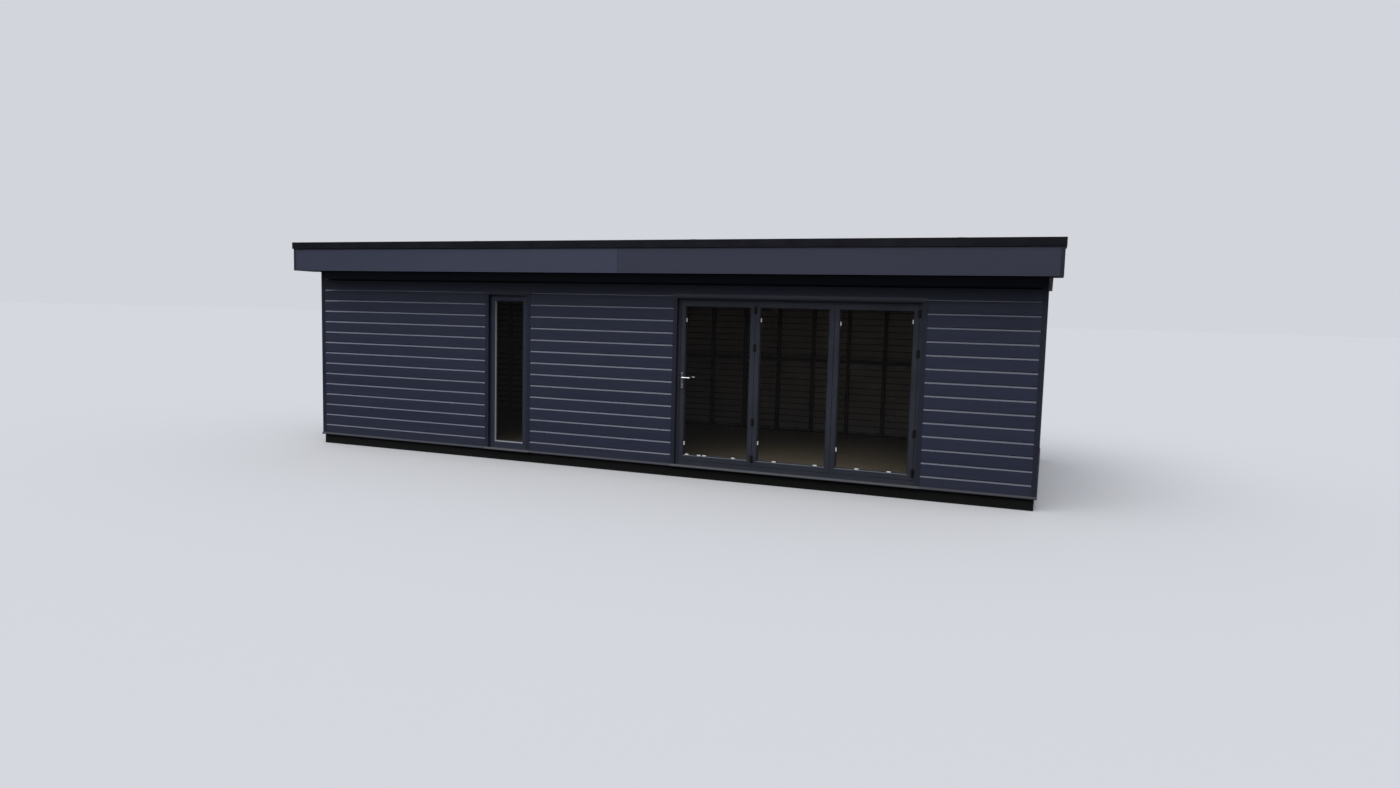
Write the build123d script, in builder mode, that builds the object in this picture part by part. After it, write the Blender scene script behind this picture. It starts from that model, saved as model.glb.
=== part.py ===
from build123d import *
from math import ceil
import os

os.makedirs("parts", exist_ok=True)

# Garden office pod: a flat-roofed timber building in grey shiplap, with a folding door and a tall
# window in its long front. +X runs right along the front, +Y into the depth, +Z up.
# The origin is at the middle of the whole outline, on the ground. All sizes are millimetres.

# Plan and levels
wall_length = 9800  # over the cladding, end to end
wall_depth = 4000  # over the cladding, front to back
slab_height = 140  # lowest ground contact to the top of the slab
head_height = 2067  # top of the slab to the top of both frames
head_band = 279  # top of the frames to the foot of the fascia

# Wall build-up, from the outside in
cladding_depth = 20
sheathing = 11
stud_depth = 95
stud_width = 45
stud_spacing = 600

# Shiplap boards
board_pitch = 150
first_lip = 152  # top of the slab to the lip of the second board
scoop_height = 26
scoop_depth = 9

# Trims
trim_width = 50
trim_proud = 3
trim_round = 2
trim_lap = 4  # how far an opening's trim laps over its frame
starter_drop = 10
starter_rise = 20
starter_nose = 12
starter_lip = 8
cill_nose = 22

# Floor
floor_thickness = 22
floor_gap = 5

# Openings in the front
fit_gap = 6  # packing space between a frame and its wall
frame_recess = 40  # cladding face to the front of a frame
frame_depth = 70
glass_thickness = 28
glass_setback = 20
glazing_groove = 12
glass_play = 2

# Tall window
window_from_left = 2862
window_width = 596
window_face = 70
bead_face = 22
bead_depth = 18
bead_slope = 14

# Folding door
door_width = 2940
door_from_right = 1269
door_frame_face = 38
door_foot_face = 47
stop_width = 16
stop_thickness = 6
leaf_count = 3
leaf_gap = 4
leaf_face = 62
leaf_bottom_rail = 66
leaf_slope = 8
seal_depth = 30

# Door furniture
plate_height = 200
plate_width = 30
plate_thickness = 9
plate_round = 6
plate_foot = 960  # top of the slab to the foot of the plate
lever_above_foot = 136
lever_length = 118
lever_thickness = 18
lever_reach = 52
lever_bend = 14
lock_above_foot = 44
lock_diameter = 17
lock_proud = 4

# Hinges of the folding door
hinge_height = 90
hinge_barrel = 14
hinge_flap = 20
hinge_thickness = 3
hinge_from_end = 85  # end of a leaf to the middle of its first hinge
hinge_spacing = 445  # first hinge to the second, from each end
knuckle = 30
knuckle_gap = 1

# Roof
front_overhang = 365
canopy_end = 140  # from the end walls to the ends of the canopy
side_gap = 5  # from the end walls to the leg of their fascia
rear_overhang = 140
fascia_height = 302  # foot of the fascia to the foot of the edge trim
fascia_thickness = 18
fascia_leg = 22
fascia_lip = 6
fascia_joint = 4951  # left corner of the walls to the joint in the front fascia
joint_gap = 3
soffit_thickness = 9
joist_depth = 220
joist_width = 47
joist_spacing = 600
roof_fall = 1 / 80
deck_thickness = 18
rubber_thickness = 3
edge_face = 90
edge_projection = 15
edge_thickness = 4
edge_leg = 44
edge_flange = 60
drip_height = 50

# Rear gutter and its pipe
gutter_width = 110
gutter_height = 75
gutter_wall = 3
gutter_drop = 5
pipe_size = 65
pipe_wall = 3
pipe_from_right = 300
pipe_standoff = 8
pipe_clearance = 30
pipe_foot = 60
shoe_height = 90
shoe_kick = 60
clip_height = 40
clip_count = 2
clip_wall = 4

# Levels worked out from these
slab_top = slab_height
fascia_foot = slab_top + head_height + head_band
soffit_underside = fascia_foot + fascia_lip
wall_top = soffit_underside + soffit_thickness
wall_rise = wall_top - slab_top
cladding_rise = soffit_underside - slab_top
edge_foot = fascia_foot + fascia_height
edge_top = edge_foot + edge_face
kerb_top = edge_top - edge_thickness
joist_foot = wall_top

# Planes in plan worked out from these
half_length = wall_length / 2
overall_depth = edge_projection + front_overhang + wall_depth + rear_overhang + gutter_width
front = -overall_depth / 2 + edge_projection + front_overhang
back = front + wall_depth
middle = (front + back) / 2
side_overhang = side_gap + fascia_leg + fascia_thickness
roof_half = half_length + side_overhang
canopy_half = half_length + canopy_end
canopy_back = front
roof_front = front - front_overhang
roof_back = back + rear_overhang
rim_half = roof_half - fascia_thickness
canopy_rim = canopy_half - fascia_thickness
canopy_rear = canopy_back - fascia_thickness
rim_front = roof_front + fascia_thickness
rim_back = roof_back - fascia_thickness
wall_thickness = sheathing + stud_depth
shell_half = half_length - cladding_depth
shell_front = front + cladding_depth
shell_back = back - cladding_depth
room_half = shell_half - wall_thickness
room_front = shell_front + wall_thickness
room_back = shell_back - wall_thickness

# Places along the front, from the left corner
window_right = window_from_left + window_width
door_right = wall_length - door_from_right
door_from_left = door_right - door_width
window_hole = (window_from_left - fit_gap, window_right + fit_gap)
door_hole = (door_from_left - fit_gap, door_right + fit_gap)
hole_top = head_height + fit_gap
window_trims = (window_from_left - trim_width, window_right + trim_width)
door_trims = (door_from_left - trim_width, door_right + trim_width)
trim_top = head_height + trim_width

# The front as a drawing board: x from the left corner, y up from the slab, z out of the cladding
facade = Plane(origin=(-half_length, front, slab_top), x_dir=(1, 0, 0), z_dir=(0, -1, 0))
# The four walls as drawing boards on their sheathing: x along the wall, y up, z outwards
front_board = Plane(origin=(-half_length, shell_front, slab_top), x_dir=(1, 0, 0), z_dir=(0, -1, 0))
back_board = Plane(origin=(half_length, shell_back, slab_top), x_dir=(-1, 0, 0), z_dir=(0, 1, 0))
left_board = Plane(origin=(-shell_half, back, slab_top), x_dir=(0, -1, 0), z_dir=(-1, 0, 0))
right_board = Plane(origin=(shell_half, front, slab_top), x_dir=(0, 1, 0), z_dir=(1, 0, 0))


def save(piece, name):
    """Label a finished piece and write it."""
    piece.part.label = name
    export_step(piece.part, f"parts/{name}.step")


def rectangle(x0, x1, y0, y1, mode=Mode.ADD):
    """A rectangle between two opposite corners of the sketch."""
    with Locations(((x0 + x1) / 2, (y0 + y1) / 2)):
        Rectangle(x1 - x0, y1 - y0, mode=mode)


def block(x0, x1, y0, y1, z0, z1, mode=Mode.ADD):
    """A block between two opposite corners of the part."""
    with Locations(((x0 + x1) / 2, (y0 + y1) / 2, (z0 + z1) / 2)):
        Box(x1 - x0, y1 - y0, z1 - z0, mode=mode)


def outline(*points):
    """A closed face through the points of the sketch."""
    Polygon(*points, align=None)


def end_of(board, along):
    """The cross-section plane of a wall: x outwards, y up, at a distance along the wall."""
    place = board.origin + board.x_dir * along
    return Plane(origin=place, x_dir=board.z_dir, z_dir=-board.x_dir)


# Base and floor

with BuildPart() as concrete_base:
    with BuildSketch():
        rectangle(-shell_half, shell_half, shell_front, shell_back)
    extrude(amount=slab_top)
save(concrete_base, "concrete_base")

with BuildPart() as floor_deck:
    with BuildSketch(Plane.XY.offset(slab_top)):
        rectangle(
            floor_gap - room_half, room_half - floor_gap, room_front + floor_gap, room_back - floor_gap
        )
    extrude(amount=floor_thickness)
save(floor_deck, "floor_deck")


# Framed wall panels: studs between plates, with sheathing on the outside

def framed_panel(board, start, end):
    """A full-height panel of studs, plates, noggins and sheathing."""
    length = end - start
    centre = (start + end) / 2
    bays = ceil((length - stud_width) / stud_spacing)
    step = (length - stud_width) / bays
    rows = [stud_width / 2, wall_rise / 2, wall_rise - 1.5 * stud_width, wall_rise - stud_width / 2]
    with BuildPart() as panel:
        with BuildSketch(board):
            rectangle(start, end, 0, wall_rise)
        extrude(amount=-sheathing)
        with BuildSketch(board.offset(-sheathing)):
            for row in rows:
                rectangle(start, end, row - stud_width / 2, row + stud_width / 2)
            with Locations((centre, wall_rise / 2)):
                with GridLocations(step, 1, bays + 1, 1):
                    Rectangle(stud_width, wall_rise)
        extrude(amount=-stud_depth)
    return panel


def header_panel(board, start, end):
    """A lintel with sheathing, over an opening."""
    with BuildPart() as panel:
        with BuildSketch(board):
            rectangle(start, end, hole_top, wall_rise)
        extrude(amount=-wall_thickness)
    return panel


front_panels = {
    "front_wall_left": (cladding_depth, window_hole[0]),
    "front_wall_middle": (window_hole[1], door_hole[0]),
    "front_wall_right": (door_hole[1], wall_length - cladding_depth),
}
for name, (start, end) in front_panels.items():
    save(framed_panel(front_board, start, end), name)
save(header_panel(front_board, *window_hole), "wall_over_window")
save(header_panel(front_board, *door_hole), "wall_over_door")

side_start = cladding_depth + wall_thickness
side_end = wall_depth - side_start
save(framed_panel(back_board, cladding_depth, wall_length - cladding_depth), "back_wall")
save(framed_panel(left_board, side_start, side_end), "left_wall")
save(framed_panel(right_board, side_start, side_end), "right_wall")


# Shiplap cladding: flat boards, each with a hollow scoop under the lip of the next

def shiplap(board, start, end, foot, top):
    """A stretch of cladding: the full cross-section, kept from foot to top and run along the wall."""
    count = ceil((cladding_rise - first_lip) / board_pitch)
    face = cladding_depth
    inner = cladding_depth - scoop_depth
    with BuildPart() as skin:
        with BuildSketch(end_of(board, start)):
            with BuildLine():
                low = starter_rise
                for row in range(count):
                    lip = first_lip + row * board_pitch
                    Line((face, low), (face, lip - scoop_height))
                    TangentArc((inner, lip), (face, lip - scoop_height), tangent=(0, -1))
                    Line((inner, lip), (face, lip))
                    low = lip
                Polyline((face, low), (face, cladding_rise), (0, cladding_rise))
                Polyline((0, cladding_rise), (0, starter_rise), (face, starter_rise))
            make_face()
            rectangle(0, face, foot, top, mode=Mode.INTERSECT)
        extrude(amount=start - end)
    return skin


# The front boards stop at the heads of the openings, and the band above runs in one length
front_skins = {
    "cladding_front_left": (trim_width, window_trims[0]),
    "cladding_front_middle": (window_trims[1], door_trims[0]),
    "cladding_front_right": (door_trims[1], wall_length - trim_width),
}
for name, (start, end) in front_skins.items():
    save(shiplap(front_board, start, end, starter_rise, trim_top), name)

long_run = (trim_width, wall_length - trim_width)
short_run = (trim_width, wall_depth - trim_width)
rise = (starter_rise, cladding_rise)
save(shiplap(front_board, *long_run, trim_top, cladding_rise), "cladding_front_top")
save(shiplap(back_board, *long_run, *rise), "cladding_back")
save(shiplap(left_board, *short_run, *rise), "cladding_left")
save(shiplap(right_board, *short_run, *rise), "cladding_right")


# Corner trims: folded angles that close the ends of the boards

with BuildPart() as corner_trims:
    with BuildSketch(Plane.XY.offset(slab_top + starter_rise)):
        outer = (-half_length - trim_proud, front - trim_proud)
        leg = trim_width + trim_proud
        thickness = cladding_depth + trim_proud
        outline(
            outer,
            (outer[0] + leg, outer[1]),
            (outer[0] + leg, outer[1] + thickness),
            (outer[0] + thickness, outer[1] + thickness),
            (outer[0] + thickness, outer[1] + leg),
            (outer[0], outer[1] + leg),
        )
    extrude(amount=cladding_rise - starter_rise)
    fillet(corner_trims.edges().filter_by(Axis.Z).group_by(Axis.X)[0].group_by(Axis.Y)[0], trim_round)
    mirror(about=Plane.YZ)
    mirror(about=Plane.XZ.offset(-middle))
save(corner_trims, "corner_trims")


# Trims round the openings: a face over the end of the boards and a lining back to the frame

lining_depth = frame_recess - cladding_depth

with BuildPart() as window_trim:
    with BuildSketch(facade.offset(trim_proud)):
        rectangle(*window_trims, starter_rise, trim_top)
        rectangle(
            window_from_left + trim_lap,
            window_right - trim_lap,
            starter_rise,
            head_height - trim_lap,
            mode=Mode.SUBTRACT,
        )
    extrude(amount=-trim_proud - cladding_depth)
    with BuildSketch(facade.offset(-cladding_depth)):
        rectangle(*window_hole, starter_rise, hole_top)
        rectangle(
            window_from_left + trim_lap,
            window_right - trim_lap,
            starter_rise,
            head_height - trim_lap,
            mode=Mode.SUBTRACT,
        )
    extrude(amount=-lining_depth)
save(window_trim, "window_trim")

with BuildPart() as door_side_trims:
    side_top = head_height - trim_lap
    with BuildSketch(facade.offset(trim_proud)):
        rectangle(door_trims[0], door_from_left + trim_lap, starter_rise, side_top)
        rectangle(door_right - trim_lap, door_trims[1], starter_rise, side_top)
    extrude(amount=-trim_proud - cladding_depth)
    with BuildSketch(facade.offset(-cladding_depth)):
        rectangle(door_hole[0], door_from_left + trim_lap, starter_rise, side_top)
        rectangle(door_right - trim_lap, door_hole[1], starter_rise, side_top)
    extrude(amount=-lining_depth)
save(door_side_trims, "door_side_trims")

with BuildPart() as door_head_trim:
    with BuildSketch(facade.offset(trim_proud)):
        rectangle(*door_trims, head_height - trim_lap, trim_top)
    extrude(amount=-trim_proud - cladding_depth)
    with BuildSketch(facade.offset(-cladding_depth)):
        rectangle(*door_hole, head_height - trim_lap, hole_top)
    extrude(amount=-lining_depth)
save(door_head_trim, "door_head_trim")


# Starter trims and cills along the foot of the walls

def drip_section(nose, shoulder):
    """The nosing: flat under the boards or trims, then sloping to a drip; x is out of the sheathing."""
    outline(
        (0, -starter_drop),
        (cladding_depth + nose, -starter_drop),
        (cladding_depth + nose, starter_lip - starter_drop),
        (cladding_depth + shoulder, starter_rise),
        (0, starter_rise),
    )


front_starters = [
    (-starter_nose, window_trims[0]),
    (window_trims[1], door_trims[0]),
    (door_trims[1], wall_length + starter_nose),
]
side_starters = (cladding_depth, wall_depth - cladding_depth)
starter_runs = [(front_board, start, end) for start, end in front_starters]
starter_runs += [
    (back_board, -starter_nose, wall_length + starter_nose),
    (left_board, *side_starters),
    (right_board, *side_starters),
]
with BuildPart() as starter_trims:
    for board, start, end in starter_runs:
        with BuildSketch(end_of(board, start)):
            drip_section(starter_nose, trim_proud)
        extrude(amount=start - end)
save(starter_trims, "starter_trims")


# Each cill is a strip under its frame and a nosing as wide as the trims
with BuildPart() as cills:
    for hole, trims in ((window_hole, window_trims), (door_hole, door_trims)):
        with BuildSketch(end_of(front_board, trims[0])):
            drip_section(cill_nose, trim_proud)
        extrude(amount=trims[0] - trims[1])
        with BuildSketch(facade.offset(-cladding_depth)):
            rectangle(*hole, 0, starter_rise)
        extrude(amount=-lining_depth - frame_depth)
save(cills, "cills")


# Frames that hold glass

def glazed_ring(x0, x1, z0, z1, faces, setback, depth, slope):
    """A frame with a groove for its glass; faces are the widths of its sides, foot and head."""
    side, foot, head = faces
    opening = (x0 + side, x1 - side, z0 + foot, z1 - head)
    pocket = (opening[0] - glazing_groove, opening[1] + glazing_groove)
    pocket += (opening[2] - glazing_groove, opening[3] + glazing_groove)
    with BuildPart() as ring:
        with BuildSketch(facade.offset(-setback)):
            rectangle(x0, x1, z0, z1)
            rectangle(*opening, mode=Mode.SUBTRACT)
        extrude(amount=-depth)
        if slope:
            chamfer(ring.faces().sort_by(Axis.Y)[0].inner_wires()[0].edges(), slope)
        with BuildSketch(facade.offset(-setback - glass_setback)):
            rectangle(*pocket)
        extrude(amount=-glass_thickness, mode=Mode.SUBTRACT)
    return ring


def glass_outline(x0, x1, z0, z1, faces):
    """The outline of a sealed unit that stands in the groove of a frame."""
    side, foot, head = faces
    reach = glazing_groove - glass_play
    rectangle(x0 + side - reach, x1 - side + reach, z0 + foot - reach, z1 - head + reach)


# Tall window

window_box = (window_from_left, window_right, starter_rise, head_height)
window_faces = (window_face, window_face, window_face)
save(glazed_ring(*window_box, window_faces, frame_recess, frame_depth, 0), "window_frame")

with BuildPart() as window_glass:
    with BuildSketch(facade.offset(-frame_recess - glass_setback)):
        glass_outline(*window_box, window_faces)
    extrude(amount=-glass_thickness)
save(window_glass, "window_glass")

with BuildPart() as window_bead:
    left = window_from_left + window_face
    right = window_right - window_face
    foot = starter_rise + window_face
    head = head_height - window_face
    with BuildSketch(facade.offset(-frame_recess - glass_setback + bead_depth)):
        rectangle(left, right, foot, head)
        rectangle(left + bead_face, right - bead_face, foot + bead_face, head - bead_face, mode=Mode.SUBTRACT)
    extrude(amount=-bead_depth)
    chamfer(window_bead.faces().sort_by(Axis.Y)[0].inner_wires()[0].edges(), bead_slope)
save(window_bead, "window_bead")


# Folding door: frame

foot_top = starter_rise + door_foot_face
head_foot = head_height - door_frame_face
inside_left = door_from_left + door_frame_face
inside_right = door_right - door_frame_face
stop_front = frame_recess + frame_depth - stop_thickness

with BuildPart() as door_jambs:
    with BuildSketch(facade.offset(-frame_recess)):
        rectangle(door_from_left, inside_left, starter_rise, head_height)
        rectangle(inside_right, door_right, starter_rise, head_height)
    extrude(amount=-frame_depth)
    with BuildSketch(facade.offset(-stop_front)):
        rectangle(inside_left, inside_left + stop_width, foot_top, head_foot)
        rectangle(inside_right - stop_width, inside_right, foot_top, head_foot)
    extrude(amount=-stop_thickness)
save(door_jambs, "door_jambs")


def cross_rail(low, high, stop_low, stop_high):
    """The head or foot of the door frame, with its stop."""
    with BuildPart() as rail:
        with BuildSketch(facade.offset(-frame_recess)):
            rectangle(inside_left, inside_right, low, high)
        extrude(amount=-frame_depth)
        with BuildSketch(facade.offset(-stop_front)):
            rectangle(inside_left + stop_width, inside_right - stop_width, stop_low, stop_high)
        extrude(amount=-stop_thickness)
    return rail


save(cross_rail(head_foot, head_height, head_foot - stop_width, head_foot), "door_head")
save(cross_rail(starter_rise, foot_top, foot_top, foot_top + stop_width), "door_threshold")


# Folding door: leaves, glass and seals

leaf_setback = frame_recess + leaf_gap
leaf_depth = frame_depth - leaf_gap - stop_thickness
leaf_width = (inside_right - inside_left - (leaf_count + 1) * leaf_gap) / leaf_count
leaf_foot = foot_top + leaf_gap
leaf_head = head_foot - leaf_gap
leaf_faces = (leaf_face, leaf_bottom_rail, leaf_face)
leaf_starts = [inside_left + leaf_gap + row * (leaf_width + leaf_gap) for row in range(leaf_count)]

leaf_boxes = [(start, start + leaf_width, leaf_foot, leaf_head) for start in leaf_starts]

for number, leaf_box in enumerate(leaf_boxes, 1):
    save(glazed_ring(*leaf_box, leaf_faces, leaf_setback, leaf_depth, leaf_slope), f"door_leaf_{number}")

with BuildPart() as door_glass:
    with BuildSketch(facade.offset(-leaf_setback - glass_setback)):
        for leaf_box in leaf_boxes:
            glass_outline(*leaf_box, leaf_faces)
    extrude(amount=-glass_thickness)
save(door_glass, "door_glass")

with BuildPart() as leaf_seals:
    with BuildSketch(facade.offset(-leaf_setback - (leaf_depth - seal_depth) / 2)):
        for start in leaf_starts[1:]:
            rectangle(start - leaf_gap, start, leaf_foot, leaf_head)
    extrude(amount=-seal_depth)
save(leaf_seals, "leaf_seals")


# Door furniture, the same on both faces of the first leaf

plate_x = leaf_starts[0] + leaf_face / 2
lever_z = plate_foot + lever_above_foot
leaf_middle = leaf_setback + leaf_depth / 2
across_leaf = facade.offset(-leaf_middle)

with BuildPart() as handle_plates:
    with BuildSketch(facade.offset(-leaf_setback)):
        with Locations((plate_x, plate_foot + plate_height / 2)):
            RectangleRounded(plate_width, plate_height, plate_round)
    extrude(amount=plate_thickness)
    with BuildSketch(facade.offset(-leaf_setback)):
        with Locations((plate_x, plate_foot + lock_above_foot)):
            Circle(lock_diameter / 2)
    extrude(amount=plate_thickness + lock_proud)
    mirror(about=across_leaf)
save(handle_plates, "handle_plates")

with BuildPart() as lever_handles:
    root = facade.offset(plate_thickness - leaf_setback)
    corner = lever_reach - lever_thickness / 2
    reach_plane = Plane(
        origin=root.from_local_coords((plate_x, lever_z, 0)), x_dir=(1, 0, 0), z_dir=(0, 0, 1)
    )
    with BuildLine(reach_plane) as grip:
        FilletPolyline((0, 0), (0, -corner), (lever_length, -corner), radius=lever_bend)
    with BuildSketch(Plane(origin=grip.line @ 0, x_dir=(1, 0, 0), z_dir=grip.line % 0)):
        Circle(lever_thickness / 2)
    sweep()
    mirror(about=across_leaf)
save(lever_handles, "lever_handles")


# Hinges: outside between the first two leaves and at the right jamb, inside between the last two

hinge_heights = [leaf_foot + hinge_from_end + row * hinge_spacing for row in (0, 1)]
hinge_heights += [leaf_head - hinge_from_end - row * hinge_spacing for row in (0, 1)]


def hinge_column(face, left_edge, right_edge, step):
    """Four hinges over the gap between two edges; the left edge stands back from the face by a step."""
    seam = (left_edge + right_edge) / 2
    with BuildPart() as column:
        for height in hinge_heights:
            foot = height - hinge_height / 2
            with BuildSketch(face.offset(-step)):
                rectangle(left_edge - hinge_flap, left_edge, foot, foot + hinge_height)
            extrude(amount=step + hinge_thickness)
            with BuildSketch(face):
                rectangle(right_edge, right_edge + hinge_flap, foot, foot + hinge_height)
            extrude(amount=hinge_thickness)
            pin_foot = face.from_local_coords((seam, foot, hinge_barrel / 2))
            with BuildSketch(Plane(origin=pin_foot, z_dir=(0, 0, 1))):
                Circle(hinge_barrel / 2)
            extrude(amount=hinge_height)
            for cut in (height - knuckle / 2, height + knuckle / 2):
                cut_foot = face.from_local_coords((seam, cut - knuckle_gap / 2, hinge_barrel / 2))
                with BuildSketch(Plane(origin=cut_foot, z_dir=(0, 0, 1))):
                    Circle(hinge_barrel / 2)
                    Circle(hinge_barrel / 2 - knuckle_gap, mode=Mode.SUBTRACT)
                extrude(amount=knuckle_gap, mode=Mode.SUBTRACT)
    return column


leaf_ends = [start + leaf_width for start in leaf_starts]
leaf_fronts = facade.offset(-leaf_setback)

with BuildPart() as outer_hinges:
    add(hinge_column(leaf_fronts, leaf_ends[0], leaf_starts[1], 0).part)
    add(hinge_column(facade.offset(-frame_recess), leaf_ends[2], inside_right, leaf_gap).part)
save(outer_hinges, "outer_hinges")

with BuildPart() as inner_hinges:
    add(hinge_column(leaf_fronts, leaf_ends[1], leaf_starts[2], 0).part.mirror(across_leaf))
save(inner_hinges, "inner_hinges")


# Roof timbers

def joist_top(y):
    """Height of the joists, which fall to the back."""
    return joist_foot + joist_depth + (rim_back - y) * roof_fall


def deck_top(y):
    """Height of the boards on the joists."""
    return joist_top(y) + deck_thickness


def rubber_top(y):
    """Height of the rubber sheet on the boards."""
    return deck_top(y) + rubber_thickness


kerb_inside = rim_front + joist_width
kerb_half = rim_half - joist_width
wing_half = canopy_rim - joist_width
wing_back = canopy_rear - joist_width
joist_bays = ceil(2 * kerb_half / joist_spacing)
joist_step = 2 * kerb_half / joist_bays

with BuildPart() as front_kerb:
    with BuildSketch(Plane.XY.offset(joist_foot)):
        rectangle(-canopy_rim, canopy_rim, rim_front, kerb_inside)
    extrude(amount=kerb_top - joist_foot)
save(front_kerb, "front_kerb")

with BuildPart() as end_kerbs:
    with BuildSketch(Plane.XY.offset(joist_foot)):
        outline(
            (wing_half, kerb_inside),
            (canopy_rim, kerb_inside),
            (canopy_rim, canopy_rear),
            (rim_half, canopy_rear),
            (rim_half, rim_back),
            (kerb_half, rim_back),
            (kerb_half, wing_back),
            (wing_half, wing_back),
        )
    extrude(amount=kerb_top - joist_foot)
    mirror(about=Plane.YZ)
save(end_kerbs, "end_kerbs")

with BuildPart() as roof_joists:
    joist_planes = [
        Plane.YZ.offset(-kerb_half + bay * joist_step - joist_width / 2) for bay in range(1, joist_bays)
    ]
    with BuildSketch(*joist_planes):
        outline(
            (kerb_inside, joist_foot),
            (rim_back, joist_foot),
            (rim_back, joist_top(rim_back)),
            (kerb_inside, joist_top(kerb_inside)),
        )
    extrude(amount=joist_width)
    with BuildSketch(Plane.YZ.offset(-kerb_half)):
        outline(
            (rim_back - joist_width, joist_foot),
            (rim_back, joist_foot),
            (rim_back, joist_top(rim_back)),
            (rim_back - joist_width, joist_top(rim_back - joist_width)),
        )
    extrude(amount=2 * kerb_half)
save(roof_joists, "roof_joists")


def roof_sheet(low, high):
    """A sheet between two levels that follow the fall of the roof, with its wings in the canopy."""
    with BuildPart() as sheet:
        for half, rear in ((kerb_half, rim_back), (wing_half, wing_back)):
            with BuildSketch(Plane.YZ.offset(-half)):
                outline(
                    (kerb_inside, low(kerb_inside)),
                    (rear, low(rear)),
                    (rear, high(rear)),
                    (kerb_inside, high(kerb_inside)),
                )
            extrude(amount=2 * half)
    return sheet


save(roof_sheet(joist_top, deck_top), "roof_deck")
save(roof_sheet(deck_top, rubber_top), "roof_rubber")


def roof_well(inset):
    """Outline in plan of the well inside the kerb, moved in from its sides; the back is open."""
    fore = kerb_inside + inset
    wing_edge = wing_back - inset
    outer = wing_half - inset
    inner = kerb_half - inset
    outline(
        (-outer, fore),
        (outer, fore),
        (outer, wing_edge),
        (inner, wing_edge),
        (inner, rim_back),
        (-inner, rim_back),
        (-inner, wing_edge),
        (-outer, wing_edge),
    )


# The rubber is turned up the kerb on three sides, under the edge trims
with BuildPart() as rubber_upstands:
    low_edge = rubber_top(rim_back)
    with BuildSketch(Plane.XY.offset(low_edge)):
        roof_well(0)
    extrude(amount=kerb_top - low_edge)
    with BuildSketch(Plane.XY.offset(low_edge)):
        roof_well(rubber_thickness)
    extrude(amount=kerb_top - low_edge, mode=Mode.SUBTRACT)
    sheet_plane = Plane(origin=(0, rim_back, low_edge), x_dir=(1, 0, 0), z_dir=(0, roof_fall, 1))
    split(bisect_by=sheet_plane, keep=Keep.TOP)
save(rubber_upstands, "rubber_upstands")


# Fascia boards: a flat face with a leg turned in under the soffit

def fascia_plate(top):
    """Cross-section of the flat board; x runs out from its outer face, y is the height."""
    rectangle(-fascia_thickness, 0, fascia_foot, top)


def fascia_turn():
    """Cross-section of the leg along its foot."""
    inner = -fascia_thickness - fascia_leg
    rectangle(inner, -fascia_thickness, fascia_foot, fascia_foot + fascia_lip)


def side_section(y):
    """Cross-section plane at the right-hand end of the roof: x outwards, y the height."""
    return Plane(origin=(roof_half, y, 0), x_dir=(1, 0, 0), z_dir=(0, -1, 0))


def side_route(rear, fore):
    """Route in plan of the right-hand edge, from the back of the roof round the end of the canopy."""
    with BuildLine() as route:
        Polyline(
            (roof_half, rear, 0),
            (roof_half, canopy_back, 0),
            (canopy_half, canopy_back, 0),
            (canopy_half, fore, 0),
        )
    return route.line


# Cross-section planes at the left end of the front and of the back
front_section = Plane(origin=(-canopy_half, roof_front, 0), x_dir=(0, -1, 0), z_dir=(-1, 0, 0))
back_section = Plane(origin=(-roof_half, roof_back, 0), x_dir=(0, 1, 0), z_dir=(1, 0, 0))
joint_start = canopy_end + fascia_joint - joint_gap / 2
joint_end = joint_start + joint_gap
front_boards = [(0, joint_start, fascia_thickness, joint_start)]
front_boards += [(joint_end, 2 * canopy_half, joint_end, 2 * canopy_half - fascia_thickness)]

with BuildPart() as fascia_front:
    for start, end, leg_start, leg_end in front_boards:
        with BuildSketch(front_section.offset(-start)):
            fascia_plate(kerb_top)
        extrude(amount=start - end)
        with BuildSketch(front_section.offset(-leg_start)):
            fascia_turn()
        extrude(amount=leg_start - leg_end)
save(fascia_front, "fascia_front")

with BuildPart() as fascia_ends:
    with BuildSketch(side_section(roof_back)):
        fascia_plate(kerb_top)
    sweep(path=side_route(roof_back, rim_front), transition=Transition.RIGHT)
    with BuildSketch(side_section(rim_back)):
        fascia_turn()
    sweep(path=side_route(rim_back, rim_front + fascia_leg), transition=Transition.RIGHT)
    mirror(about=Plane.YZ)
save(fascia_ends, "fascia_ends")

with BuildPart() as fascia_back:
    with BuildSketch(back_section.offset(fascia_thickness)):
        fascia_plate(rubber_top(rim_back))
    extrude(amount=2 * rim_half)
    with BuildSketch(back_section.offset(fascia_thickness + fascia_leg)):
        fascia_turn()
    extrude(amount=2 * (rim_half - fascia_leg))
save(fascia_back, "fascia_back")


# Soffits

with BuildPart() as soffit_front:
    with BuildSketch(Plane.XY.offset(soffit_underside)):
        rectangle(-canopy_rim, canopy_rim, rim_front, canopy_rear)
        rectangle(-rim_half, rim_half, canopy_rear, shell_front)
    extrude(amount=soffit_thickness)
save(soffit_front, "soffit_front")

with BuildPart() as soffit_ends:
    with BuildSketch(Plane.XY.offset(soffit_underside)):
        rectangle(-rim_half, -shell_half, shell_front, shell_back)
        rectangle(shell_half, rim_half, shell_front, shell_back)
    extrude(amount=soffit_thickness)
save(soffit_ends, "soffit_ends")

with BuildPart() as soffit_back:
    with BuildSketch(Plane.XY.offset(soffit_underside)):
        rectangle(-rim_half, rim_half, shell_back, rim_back)
    extrude(amount=soffit_thickness)
save(soffit_back, "soffit_back")


# Edge trims: cappings over the kerb, mitred at the front corners

kerb_width = fascia_thickness + joist_width + rubber_thickness
cap_width = kerb_width + edge_thickness


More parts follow.
